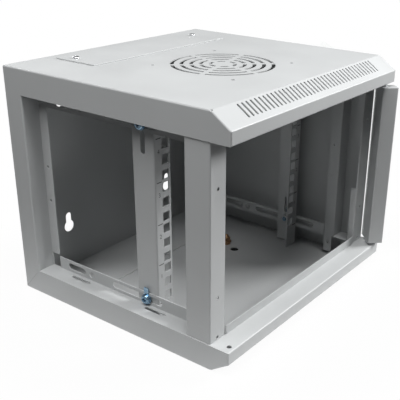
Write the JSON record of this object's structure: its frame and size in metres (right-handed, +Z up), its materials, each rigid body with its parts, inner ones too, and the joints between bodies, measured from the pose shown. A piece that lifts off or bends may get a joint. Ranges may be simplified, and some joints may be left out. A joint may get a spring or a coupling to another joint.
{
  "type": "wall rack cabinet",
  "caption": "Light grey sheet-steel wall cabinet for ten inch rack equipment: vented roof, slotted rack rails, one side open, lift-off side panel and a glass door swung wide open.",
  "frame": {"origin": "middle of the underside of the base tray", "axes": "+X to the right seen from the front, +Y to the rear, +Z up"},
  "size_m": [0.5197, 0.3028, 0.2612],
  "materials": {
    "cabinet_paint": "light grey powder coat with a fine orange peel",
    "rail_paint": "light grey powder coat",
    "blue_zinc": "blue passivated zinc",
    "zinc": "bright zinc plate",
    "lock_chrome": "polished nickel plate",
    "copper_plate": "copper plate",
    "glass": "clear toughened glass",
    "rubber": "black foam rubber strip"
  },
  "bodies": {
    "frame": {"base": "cabinet_paint", "roof": "cabinet_paint", "rear_panel": "cabinet_paint", "front_left_post": "cabinet_paint", "front_right_post": "cabinet_paint", "rear_left_post": "cabinet_paint", "rear_right_post": "cabinet_paint", "roof_cable_cover": "cabinet_paint", "floor_cable_cover": "cabinet_paint", "cable_cover_screws": "zinc", "earth_stud": "copper_plate", "earth_washer": "copper_plate", "earth_nut": "copper_plate"},
    "left_rail": {"left_rack_rail": "rail_paint", "left_rail_bolts": "blue_zinc", "left_rail_clips": "blue_zinc", "left_rail_nuts": "zinc"},
    "right_rail": {"right_rack_rail": "rail_paint", "right_rail_bolts": "blue_zinc", "right_rail_clips": "blue_zinc", "right_rail_nuts": "zinc"},
    "side_panel": {"right_side_panel": "cabinet_paint", "panel_lock_body": "lock_chrome", "panel_lock_nut": "zinc"},
    "panel_lock": {"panel_lock_plug": "lock_chrome", "panel_lock_cam": "zinc", "panel_cam_nut": "zinc"},
    "door": {"hinge_stile": "cabinet_paint", "door_glass": "glass", "front_glass_gasket": "rubber", "rear_glass_gasket": "rubber", "glass_clamp_strip": "zinc", "glass_clamp_nuts": "zinc", "lower_hinge_pin": "zinc", "door_lock_body": "lock_chrome", "door_lock_nut": "zinc"},
    "door_lock": {"door_lock_plug": "lock_chrome", "door_lock_cam": "zinc", "door_cam_nut": "zinc"},
    "hinge_pin": {"upper_hinge_pin": "zinc"}
  },
  "joints": [
    {"name": "door_hinge", "type": "hinge", "parent": "frame", "child": "door", "pos_m": [0.146, -0.1405, 0.1285], "axis": [0, 0, 1], "range_deg": [-224, 0]},
    {"name": "upper_hinge_pin_slide", "type": "slide", "parent": "door", "child": "hinge_pin", "axis": [0, 0, -1], "range_m": [0, 0.009], "stiffness_N_per_m": 300, "springref_m": -0.01},
    {"name": "door_lock_turn", "type": "hinge", "parent": "door", "child": "door_lock", "pos_m": [0.33826, 0.04836, 0.1285], "axis": [0.6947, -0.7193, 0], "range_deg": [0, 90]},
    {"name": "side_panel_tip", "type": "hinge", "parent": "frame", "child": "side_panel", "pos_m": [0.156, 0.0134, 0.0286], "axis": [0, 1, 0], "range_deg": [0, 8]},
    {"name": "side_lock_turn", "type": "hinge", "parent": "side_panel", "child": "panel_lock", "pos_m": [0.156, 0.0134, 0.2044], "axis": [-1, 0, 0], "range_deg": [0, 90]},
    {"name": "left_rail_slide", "type": "slide", "parent": "frame", "child": "left_rail", "axis": [0, 1, 0], "range_m": [-0.015, 0.042]},
    {"name": "right_rail_slide", "type": "slide", "parent": "frame", "child": "right_rail", "axis": [0, 1, 0], "range_m": [-0.015, 0.042]}
  ]
}
